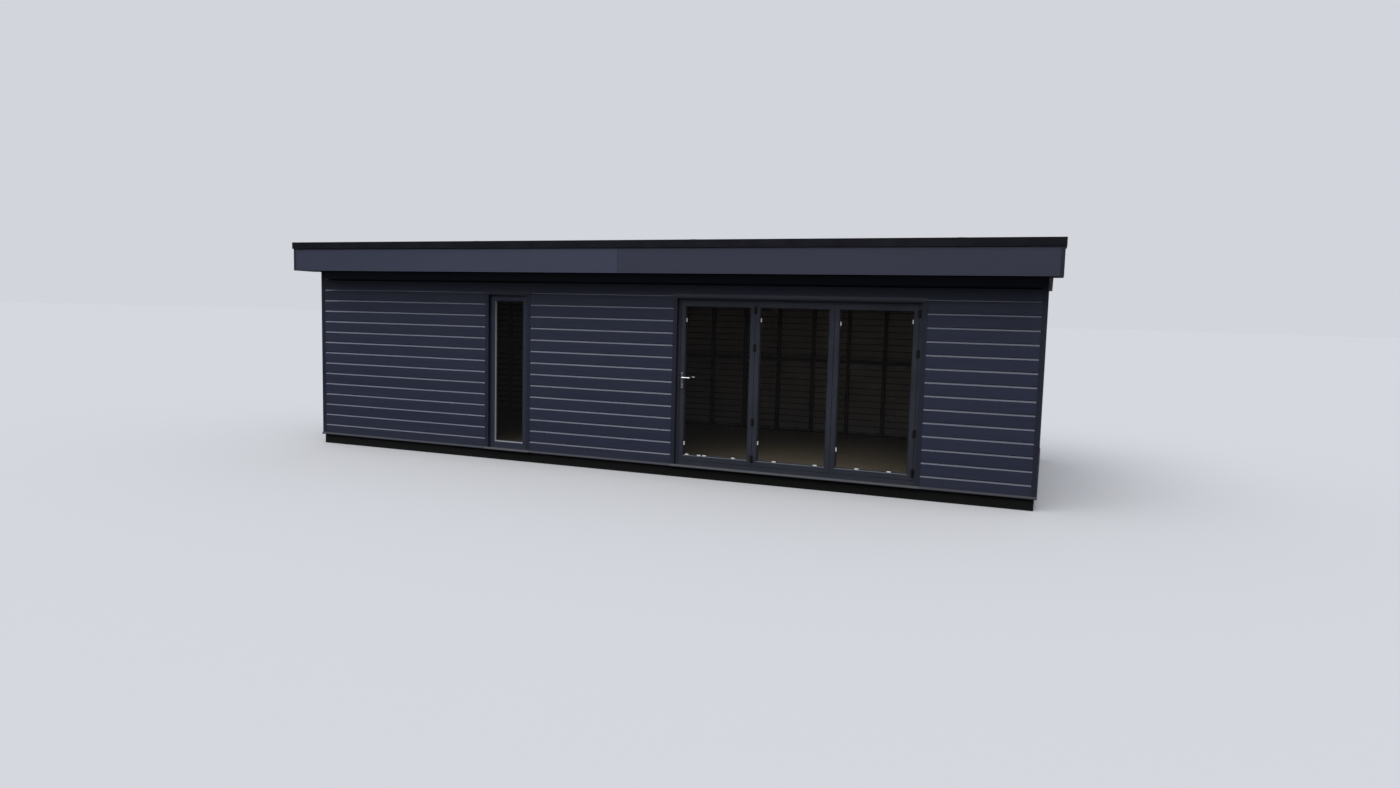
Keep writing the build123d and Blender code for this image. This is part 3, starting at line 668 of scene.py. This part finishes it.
# Cast concrete: the shuttered edge of the slab, gritty, with damp that has climbed from the ground. Both its
# tones are painted near black: painted shade for the deep shadow under the starter trims
castConcrete = {
    # painted shade: the dry and the damp tone are both near black, far darker than the concrete's own grey
    "shadedDry": "171714",
    "shadedDamp": "0c0c0a",
    "dampHeight": 120,
    "dampEdge": (-20, 30),  # from where it starts to dry to where it is dry
    "stainWidth": 380,
    "stainHeight": 90,
    "grit": 14,
    "gritDepth": 2,
    "roughness": 0.85,
    "shine": 0.2,
}


def makeConcrete(spec):
    material, tree, place = startMaterial("castConcrete")
    scale = perMetre(spec["grit"])[0]
    grit = add(tree, "ShaderNodeTexNoise", {"Vector": place, "Scale": scale, "Detail": 6.0})
    wide, high = spec["stainWidth"], spec["stainHeight"]
    stretched = add(tree, "ShaderNodeMapping", {"Vector": place, "Scale": perMetre(wide, wide, high)})
    stain = add(tree, "ShaderNodeTexNoise", {"Vector": stretched, "Scale": 1.0, "Detail": 5.0})
    rise = add(
        tree,
        "ShaderNodeMapRange",
        {
            "Value": stain,
            "From Min": 0.3,
            "From Max": 0.7,
            "To Min": 0.5 * spec["dampHeight"] * mm,
            "To Max": 1.4 * spec["dampHeight"] * mm,
        },
    )
    height = add(tree, "ShaderNodeSeparateXYZ", {"Vector": place}).outputs["Z"]
    below = add(tree, "ShaderNodeMath", {0: rise, 1: height}, operation="SUBTRACT")
    start, end = (edge * mm for edge in spec["dampEdge"])
    wet = add(tree, "ShaderNodeMapRange", {"Value": below, "From Min": start, "From Max": end})
    # The damp is darker towards the foot; both tones carry painted shade
    colour = add(
        tree,
        "ShaderNodeMix",
        {"Factor": wet, "A": linear(spec["shadedDry"]), "B": linear(spec["shadedDamp"])},
        data_type="RGBA",
    )
    tone = add(tree, "ShaderNodeMapRange", {"Value": grit, "To Min": 0.6, "To Max": 1.4})
    colour = add(tree, "ShaderNodeHueSaturation", {"Color": colour, "Value": tone})
    rough = add(
        tree, "ShaderNodeBump", {"Height": grit, "Distance": spec["gritDepth"] * mm, "Strength": 0.6}
    )
    surface = {
        "Base Color": colour,
        "Roughness": spec["roughness"],
        "Specular IOR Level": spec["shine"],
        "Normal": rough,
    }
    endMaterial(tree, surface)
    return material


concrete = makeConcrete(castConcrete)
print("timber, boards, rubber and concrete: materials made")

finishes = {
    shiplapFoil: [
        "cladding_front_left", "cladding_front_middle", "cladding_front_right", "cladding_front_top",
        "cladding_back", "cladding_left", "cladding_right",
    ],
    trimFoil: ["corner_trims", "window_trim", "door_side_trims", "door_head_trim"],
    starterFoil: ["starter_trims"],
    windowFoil: ["window_frame"],
    beadPvc: ["window_bead"],
    glass: ["window_glass", "door_glass"],
    doorPaint: ["door_jambs", "door_head", "door_threshold", "door_leaf_1", "door_leaf_2", "door_leaf_3"],
    cillPaint: ["cills"],
    sealRubber: ["leaf_seals"],
    chrome: ["handle_plates", "lever_handles"],
    hingeCoat: ["outer_hinges", "inner_hinges"],
    fasciaFilm: ["fascia_front", "fascia_ends", "fascia_back"],
    soffitPvc: ["soffit_front", "soffit_ends", "soffit_back"],
    edgeGlassFibre: ["edge_trim_front", "edge_trim_ends", "edge_trim_back"],
    gutterPvc: ["rear_gutter", "downpipe"],
    roofRubber: ["roof_rubber", "rubber_upstands"],
    studTimber: [
        "front_wall_left", "front_wall_middle", "front_wall_right", "wall_over_window", "wall_over_door",
        "back_wall", "left_wall", "right_wall",
    ],
    joistTimber: ["roof_joists", "front_kerb", "end_kerbs"],
    roofBoard: ["roof_deck"],
    floorBoard: ["floor_deck"],
    concrete: ["concrete_base"],
}
for material, names in finishes.items():
    for name in names:
        mesh = nodes[name].data
        mesh.materials.clear()
        mesh.materials.append(material)
print("finishes given to", sum(len(names) for names in finishes.values()), "nodes")


def barInto(mesh, low, high):  # a box between two corners
    middle = [(a + b) / 2 for a, b in zip(low, high)]
    size = [abs(b - a) for a, b in zip(low, high)]
    matrix = Matrix.Translation(middle) @ Matrix.Diagonal((*size, 1.0))
    bmesh.ops.create_cube(mesh, size=1.0, matrix=matrix)


def prismInto(mesh, outline, start, end, axis):  # an outline in the two other axes, drawn out along one
    others = [i for i in range(3) if i != axis]
    rings = []
    for level in (start, end):
        ring = []
        for point in outline:
            corner = [0.0, 0.0, 0.0]
            corner[axis] = level
            corner[others[0]], corner[others[1]] = point
            ring.append(mesh.verts.new(corner))
        rings.append(ring)
    first, last = rings
    mesh.faces.new(first)
    mesh.faces.new(last)
    for i in range(len(outline)):
        j = (i + 1) % len(outline)
        mesh.faces.new((first[i], first[j], last[j], last[i]))


def ringInto(mesh, outer, width, front, back):  # four mitred bars round an opening in a front wall
    left, right, foot, head = outer
    corners = [(left, foot), (right, foot), (right, head), (left, head)]
    inner = [
        (left + width, foot + width), (right - width, foot + width),
        (right - width, head - width), (left + width, head - width),
    ]
    rows = [[mesh.verts.new((x, y, z)) for x, z in ring] for y in (front, back) for ring in (corners, inner)]
    outerFront, innerFront, outerBack, innerBack = rows
    for i in range(4):
        j = (i + 1) % 4
        mesh.faces.new((outerFront[i], outerFront[j], innerFront[j], innerFront[i]))
        mesh.faces.new((outerBack[j], outerBack[i], innerBack[i], innerBack[j]))
        mesh.faces.new((outerFront[j], outerFront[i], outerBack[i], outerBack[j]))
        mesh.faces.new((innerFront[i], innerFront[j], innerBack[j], innerBack[i]))


def domeInto(mesh, centre, axis, radius, proud):  # a fixing's head, half sunk in what it holds
    scale = [radius, radius, radius]
    scale[axis] = proud
    matrix = Matrix.Translation(centre) @ Matrix.Diagonal((*scale, 1.0))
    bmesh.ops.create_uvsphere(mesh, u_segments=12, v_segments=6, radius=1.0, matrix=matrix)


def makePiece(name, mesh, material, bevel=0.0):
    bmesh.ops.recalc_face_normals(mesh, faces=mesh.faces)
    data = bpy.data.meshes.new(name)
    mesh.to_mesh(data)
    mesh.free()
    data.materials.append(material)
    piece = bpy.data.objects.new(name, data)
    bpy.context.scene.collection.objects.link(piece)
    if bevel:
        edge = piece.modifiers.new("softEdge", "BEVEL")
        edge.width = bevel * mm
        edge.segments = 2
        edge.limit_method = "ANGLE"
    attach(piece, "root")
    return piece


# Glazing: rubber gaskets on both faces of each pane, the spacer inside it and the packers at its edges
glazing = {
    "leafSide": 62,  # from a leaf's outline to the sight line
    "leafFoot": 66,
    "leafHead": 62,
    "windowFace": 92,  # frame and bead together
    "glass": 28,
    "gasket": 5,
    "gasketProud": 3,
    "spacer": 7,
    "spacerDepth": 16,
    "spacerSetback": 6,
}


def findPanes(spec):  # left, right, foot and head of each sight opening, and the front of its glass
    found = []
    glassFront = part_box("door_glass")[0].y
    for number in (1, 2, 3):
        low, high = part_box(f"door_leaf_{number}")
        side = spec["leafSide"] * mm
        foot = low.z + spec["leafFoot"] * mm
        head = high.z - spec["leafHead"] * mm
        found.append(((low.x + side, high.x - side, foot, head), glassFront))
    low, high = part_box("window_frame")
    face = spec["windowFace"] * mm
    opening = (low.x + face, high.x - face, low.z + face, high.z - face)
    found.append((opening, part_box("window_glass")[0].y))
    return found


panes = findPanes(glazing)


def makeGaskets(spec):
    mesh = bmesh.new()
    width, proud = spec["gasket"] * mm, spec["gasketProud"] * mm
    for opening, front in panes:
        back = front + spec["glass"] * mm
        ringInto(mesh, opening, width, front - proud, front)
        ringInto(mesh, opening, width, back, back + proud)
    makePiece("glazingGaskets", mesh, sealRubber)


def makeSpacers(spec):
    mesh = bmesh.new()
    for opening, front in panes:
        start = front + spec["spacerSetback"] * mm
        ringInto(mesh, opening, spec["spacer"] * mm, start, start + spec["spacerDepth"] * mm)
    makePiece("glassSpacers", mesh, spacerBar)


makeGaskets(glazing)
makeSpacers(glazing)

# White packers that were left showing at the sight lines: the pane's number, the edge they stand at, and
# the distance along that edge from the pane's left or foot
packers = {
    "long": 46,
    "short": 13,
    "thick": 9,
    "places": [
        (0, "left", 1666), (0, "left", 144), (0, "foot", 46), (0, "foot", 205), (0, "foot", 276),
        (0, "foot", 650), (1, "left", 1687), (1, "left", 216), (1, "foot", 214), (1, "foot", 715),
        (2, "left", 1672), (2, "right", 1714), (2, "left", 214), (2, "foot", 255), (2, "foot", 624),
    ],
}


def makePackers(spec):
    mesh = bmesh.new()
    long, short, thick = spec["long"] * mm, spec["short"] * mm, spec["thick"] * mm
    for number, edge, distance in spec["places"]:
        (left, right, foot, head), front = panes[number]
        middle = distance * mm
        if edge == "foot":
            start = left + middle - long / 2
            barInto(mesh, (start, front - thick, foot), (start + long, front, foot + short))
        else:
            start = left if edge == "left" else right - short
            low = foot + middle - long / 2
            barInto(mesh, (start, front - thick, low), (start + short, front, low + long))
    makePiece("glazingPackers", mesh, packerNylon, bevel=1.0)


makePackers(packers)

# Lock furniture on the two handle plates: key cylinder, its slot and the screws that hold the plates
lockFurniture = {
    "cylinder": 17,
    "cylinderProud": 2,
    "cylinderUp": 44,  # from the foot of the plate
    "slotHeight": 9,
    "slotWidth": 1.6,
    "slotProud": 0.2,
    "screw": 8,
    "screwProud": 1.5,
    "screwEnd": 12,  # from each end of the plate
}


def makeLockFurniture(spec):
    low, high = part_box("handle_plates")
    middle = (low.x + high.x) / 2
    metal = bmesh.new()
    slots = bmesh.new()
    for face, away in ((low.y, -1), (high.y, 1)):
        centre = Vector((middle, face, low.z + spec["cylinderUp"] * mm))
        turn = Matrix.Rotation(math.pi / 2, 4, "X")
        matrix = Matrix.Translation(centre) @ turn
        bmesh.ops.create_cone(
            metal,
            cap_ends=True,
            segments=24,
            radius1=spec["cylinder"] / 2 * mm,
            radius2=spec["cylinder"] / 2 * mm,
            depth=2 * spec["cylinderProud"] * mm,
            matrix=matrix,
        )
        half = spec["slotWidth"] / 2 * mm
        rise = spec["slotHeight"] / 2 * mm
        out = face + away * (spec["cylinderProud"] + spec["slotProud"]) * mm
        barInto(slots, (middle - half, face, centre.z - rise), (middle + half, out, centre.z + rise))
        for height in (low.z + spec["screwEnd"] * mm, high.z - spec["screwEnd"] * mm):
            domeInto(metal, (middle, face, height), 1, spec["screw"] / 2 * mm, spec["screwProud"] * mm)
    makePiece("lockCylinders", metal, chrome, bevel=0.5)
    makePiece("keySlots", slots, sealRubber)


makeLockFurniture(lockFurniture)
print("door and window: gaskets, spacers, packers and lock furniture made")

# Sloping drips on the head trims over the door and the window, which throw rain clear and catch the sky
headDrips = {"height": 36, "lip": 3, "seat": 1, "proud": {"door_head_trim": 2.5, "window_trim": 1}}


def makeHeadDrips(spec):
    mesh = bmesh.new()
    lip, seat = spec["lip"] * mm, spec["seat"] * mm
    for name, proud in spec["proud"].items():
        low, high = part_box(name)
        foot = high.z - spec["height"] * mm
        out = low.y - proud * mm
        outline = [
            (low.y + seat, high.z), (low.y, high.z), (out, foot + lip), (out, foot), (low.y + seat, foot),
        ]
        prismInto(mesh, outline, low.x, high.x, 0)
    makePiece("headDrips", mesh, trimFoil, bevel=0.4)


makeHeadDrips(headDrips)

# Sleeves that cover the joints between 3 m lengths of the roof edge
edgeSleeves = {
    "width": 80,
    "thick": 1.5,
    "turnIn": 12,  # under the foot of the edge
    "frontFromLeft": (2933, 5933, 8933),
    "endFromFront": 2200,
}


def makeEdgeSleeves(spec):
    mesh = bmesh.new()
    thick, half = spec["thick"] * mm, spec["width"] / 2 * mm
    low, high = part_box("edge_trim_front")
    inner = low.y + spec["turnIn"] * mm
    front = [
        (low.y - thick, low.z - thick), (low.y - thick, high.z + thick), (high.y, high.z + thick),
        (high.y, high.z), (low.y, high.z), (low.y, low.z), (inner, low.z), (inner, low.z - thick),
    ]
    for distance in spec["frontFromLeft"]:
        middle = leftCorner + distance * mm
        prismInto(mesh, front, middle - half, middle + half, 0)
    middle = low.y + spec["endFromFront"] * mm
    outer = roofEnd + (fasciaFront - low.y)
    for side in (-1, 1):
        end = [(side * (outer + low.y - y), z) for y, z in front]
        prismInto(mesh, end, middle - half, middle + half, 1)
    makePiece("edgeSleeves", mesh, edgeGlassFibre, bevel=0.4)


makeEdgeSleeves(edgeSleeves)

# Angle covers where the fascia boards meet at the corners of the roof, and pins that hold the boards
fasciaDetail = {
    "leg": 38,
    "thick": 1.5,
    "pin": 9,
    "pinProud": 1.6,
    "pinStep": 600,
    "pinInset": 45,
    "pinFromFront": 150,
    "pinsPerEnd": 8,
}


def makeFasciaCorners(spec):
    mesh = bmesh.new()
    thick, leg = spec["thick"] * mm, spec["leg"] * mm
    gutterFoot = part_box("rear_gutter")[0].z
    corners = [
        (canopyEnd, fasciaFront, -1, fasciaTop), (canopyEnd, frontBoards, 1, fasciaTop),
        (roofEnd, fasciaBack, 1, gutterFoot),
    ]
    for side in (-1, 1):
        for end, face, away, top in corners:
            edge = side * end
            inX, inY = edge - side * leg, face - away * leg
            outX, outY = edge + side * thick, face + away * thick
            outline = [(inX, outY), (outX, outY), (outX, inY), (edge, inY), (edge, face), (inX, face)]
            prismInto(mesh, outline, fasciaFoot, top, 2)
    makePiece("fasciaCorners", mesh, trimFoil, bevel=0.4)


def makeFasciaPins(spec):
    mesh = bmesh.new()
    step, inset, radius = spec["pinStep"] * mm, spec["pinInset"] * mm, spec["pin"] / 2 * mm
    proud = spec["pinProud"] * mm
    rows = (fasciaFoot + inset, fasciaTop - inset)
    count = int((rightCorner - leftCorner) / step)
    start = (leftCorner + rightCorner) / 2 - (count - 1) / 2 * step
    for number in range(count):
        x = start + number * step
        for height in rows:
            domeInto(mesh, (x, fasciaFront, height), 1, radius, proud)
        domeInto(mesh, (x, fasciaBack, rows[0]), 1, radius, proud)
        domeInto(mesh, (x, fasciaFront + spec["pinFromFront"] * mm, soffitFace), 2, radius, proud)
    for side in (-1, 1):
        for number in range(spec["pinsPerEnd"]):
            y = fasciaFront + (number * spec["pinStep"] + spec["pinFromFront"]) * mm
            end = canopyEnd if y < frontBoards else roofEnd
            for height in rows:
                domeInto(mesh, (side * end, y, height), 0, radius, proud)
    makePiece("fasciaPins", mesh, fasciaFilm)


makeFasciaCorners(fasciaDetail)
makeFasciaPins(fasciaDetail)

# Brackets and unions on the rear gutter
rainwater = {
    "bracketStep": 1000,
    "bracket": 26,
    "union": 90,
    "unions": (-2000, 2000),  # from the middle of the gutter
    "thick": 3,
    "hook": 10,
}


def makeGutterFittings(spec):
    mesh = bmesh.new()
    low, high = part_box("rear_gutter")
    thick, hook, step = spec["thick"] * mm, spec["hook"] * mm, spec["bracketStep"] * mm
    outline = [
        (low.y, low.z - thick), (high.y + thick, low.z - thick), (high.y + thick, high.z + thick),
        (high.y - hook, high.z + thick), (high.y - hook, high.z), (high.y, high.z), (high.y, low.z),
        (low.y, low.z),
    ]
    count = int((high.x - low.x) / step)
    fittings = [((number - (count - 1) / 2) * step, spec["bracket"]) for number in range(count)]
    fittings += [(place * mm, spec["union"]) for place in spec["unions"]]
    for middle, width in fittings:
        prismInto(mesh, outline, middle - width / 2 * mm, middle + width / 2 * mm, 0)
    makePiece("gutterFittings", mesh, gutterPvc, bevel=0.8)


makeGutterFittings(rainwater)

# Cover strip over the joint between two lengths of board on the long back wall
backJoint = {"width": 50, "proud": 4, "seat": 6}  # the seat is how far out its back lies from the sheathing


def makeBackJoint(spec):
    mesh = bmesh.new()
    low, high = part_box("cladding_back")
    half = spec["width"] / 2 * mm
    barInto(mesh, (-half, low.y + spec["seat"] * mm, low.z), (half, high.y + spec["proud"] * mm, high.z))
    makePiece("backJointCover", mesh, trimFoil, bevel=1.5)


makeBackJoint(backJoint)
print("drips, roof edge, fascia, gutter and back wall: pieces made")

# Camera in front of the right end, a little above eye level and held a little askew
viewPoint = {
    "place": (4.93, -11.955, 2.014),
    "yaw": -21.319,
    "pitch": -5.13,
    "roll": 1.46,
    "lens": 22.795,
    "sensor": 36,
    "reach": 2000,
}


def makeCamera(spec):
    yaw, pitch, roll = (math.radians(spec[key]) for key in ("yaw", "pitch", "roll"))
    ahead = Vector((math.sin(yaw), math.cos(yaw), 0))
    level = Vector((math.cos(yaw), -math.sin(yaw), 0))
    forward = ahead * math.cos(pitch) + Vector((0, 0, math.sin(pitch)))
    plumb = level.cross(forward)
    right = level * math.cos(roll) + plumb * math.sin(roll)
    up = plumb * math.cos(roll) - level * math.sin(roll)
    data = bpy.data.cameras.new("gardenView")
    data.lens = spec["lens"]
    data.sensor_width = spec["sensor"]
    data.clip_end = spec["reach"]
    camera = bpy.data.objects.new("gardenView", data)
    bpy.context.scene.collection.objects.link(camera)
    turn = Matrix((right, up, -forward)).transposed().to_4x4()
    camera.matrix_world = Matrix.Translation(spec["place"]) @ turn
    bpy.context.scene.camera = camera


makeCamera(viewPoint)

# Plain studio under an even overcast: brighter overhead than at the horizon, one wide soft lamp high in
# front, and a floor and sky that look pale to the camera without lighting the building more
studio = {
    "floorSeen": "bcbcba",
    "floorLight": "303030",
    "floorRadius": 400,
    "glossyPart": 0.1,  # how much of the pale floor a reflection shows
    "skySeen": "d3d5dc",
    "skyTint": "e6ecff",
    "skyline": 0.2,  # sine of the height at which the sky starts to brighten
    "open": 0.6,  # and from which it is at its full strength
    "reflectedOpen": 0.38,  # the same in reflections
    "horizon": 0.03,
    "zenith": 1.0,
    "reflectedHorizon": 0.05,
    "reflectedZenith": 1.62,
    "brightSide": 2.1,  # the sky on the left against the sky straight in front, in reflections
    "brightFrom": -0.6,  # sine of the turn to the left at which it is that bright
    "lamp": 2.37,
    "lampWidth": 70,
    "lampHeight": 61,
    "lampSide": -12,  # degrees from straight in front
}


def makeFloor(spec):
    material, tree, _ = startMaterial("studioFloor")
    path = add(tree, "ShaderNodeLightPath").outputs
    mirrored = add(
        tree, "ShaderNodeMath", {0: path["Is Glossy Ray"], 1: spec["glossyPart"]}, operation="MULTIPLY"
    )
    seen = add(tree, "ShaderNodeMath", {0: path["Is Camera Ray"], 1: mirrored}, operation="MAXIMUM")
    seen = add(tree, "ShaderNodeMath", {0: seen, 1: path["Is Transmission Ray"]}, operation="MAXIMUM")
    colour = add(
        tree,
        "ShaderNodeMix",
        {"Factor": seen, "A": linear(spec["floorLight"]), "B": linear(spec["floorSeen"])},
        data_type="RGBA",
    )
    add(
        tree,
        "ShaderNodeOutputMaterial",
        {"Surface": add(tree, "ShaderNodeBsdfDiffuse", {"Color": colour})},
    )
    mesh = bmesh.new()
    bmesh.ops.create_circle(mesh, cap_ends=True, segments=96, radius=spec["floorRadius"])
    data = bpy.data.meshes.new("studioFloor")
    mesh.to_mesh(data)
    mesh.free()
    data.materials.append(material)
    floor = bpy.data.objects.new("studioFloor", data)
    bpy.context.scene.collection.objects.link(floor)


def makeSky(spec):
    world = bpy.data.worlds.new("studioSky")
    world.use_nodes = True
    bpy.context.scene.world = world
    tree = world.node_tree
    tree.nodes.clear()
    path = add(tree, "ShaderNodeLightPath").outputs
    direction = add(tree, "ShaderNodeTexCoord").outputs["Generated"]
    apart = add(tree, "ShaderNodeSeparateXYZ", {"Vector": direction}).outputs
    rise = apart["Z"]
    clear = add(
        tree,
        "ShaderNodeMapRange",
        {"Value": rise, "From Min": spec["skyline"], "From Max": spec["open"]},
        interpolation_type="SMOOTHSTEP",
    )
    light = add(
        tree, "ShaderNodeMapRange", {"Value": clear, "To Min": spec["horizon"], "To Max": spec["zenith"]}
    )
    mirrored = add(
        tree,
        "ShaderNodeMapRange",
        {
            "Value": rise,
            "From Min": spec["skyline"],
            "From Max": spec["reflectedOpen"],
            "To Min": spec["reflectedHorizon"],
            "To Max": spec["reflectedZenith"],
        },
        interpolation_type="SMOOTHSTEP",
    )
    leftward = add(
        tree,
        "ShaderNodeMapRange",
        {
            "Value": apart["X"],
            "From Min": spec["brightFrom"],
            "From Max": 0.0,
            "To Min": spec["brightSide"],
            "To Max": 1.0,
        },
    )
    mirrored = add(tree, "ShaderNodeMath", {0: mirrored, 1: leftward}, operation="MULTIPLY")
    strength = add(
        tree,
        "ShaderNodeMix",
        {"Factor": path["Is Glossy Ray"], "A": light, "B": mirrored},
        data_type="FLOAT",
    )
    lit = add(tree, "ShaderNodeBackground", {"Color": linear(spec["skyTint"]), "Strength": strength})
    plain = add(tree, "ShaderNodeBackground", {"Color": linear(spec["skySeen"]), "Strength": 1.0})
    seen = add(
        tree,
        "ShaderNodeMath",
        {0: path["Is Camera Ray"], 1: path["Is Transmission Ray"]},
        operation="MAXIMUM",
    )
    both = add(tree, "ShaderNodeMixShader", {0: seen, 1: lit, 2: plain})
    add(tree, "ShaderNodeOutputWorld", {"Surface": both})


def makeLamp(spec):
    lamp = bpy.data.lights.new("softOvercast", "SUN")
    lamp.energy = spec["lamp"]
    lamp.angle = math.radians(spec["lampWidth"])
    holder = bpy.data.objects.new("softOvercast", lamp)
    bpy.context.scene.collection.objects.link(holder)
    height, side = math.radians(spec["lampHeight"]), math.radians(spec["lampSide"])
    flat = math.cos(height)
    towards = Vector((math.sin(side) * flat, -math.cos(side) * flat, math.sin(height)))
    holder.matrix_world = towards.to_track_quat("Z", "Y").to_matrix().to_4x4()


makeFloor(studio)
makeSky(studio)
makeLamp(studio)
bpy.context.scene.view_settings.view_transform = "Standard"
print("camera and studio made")
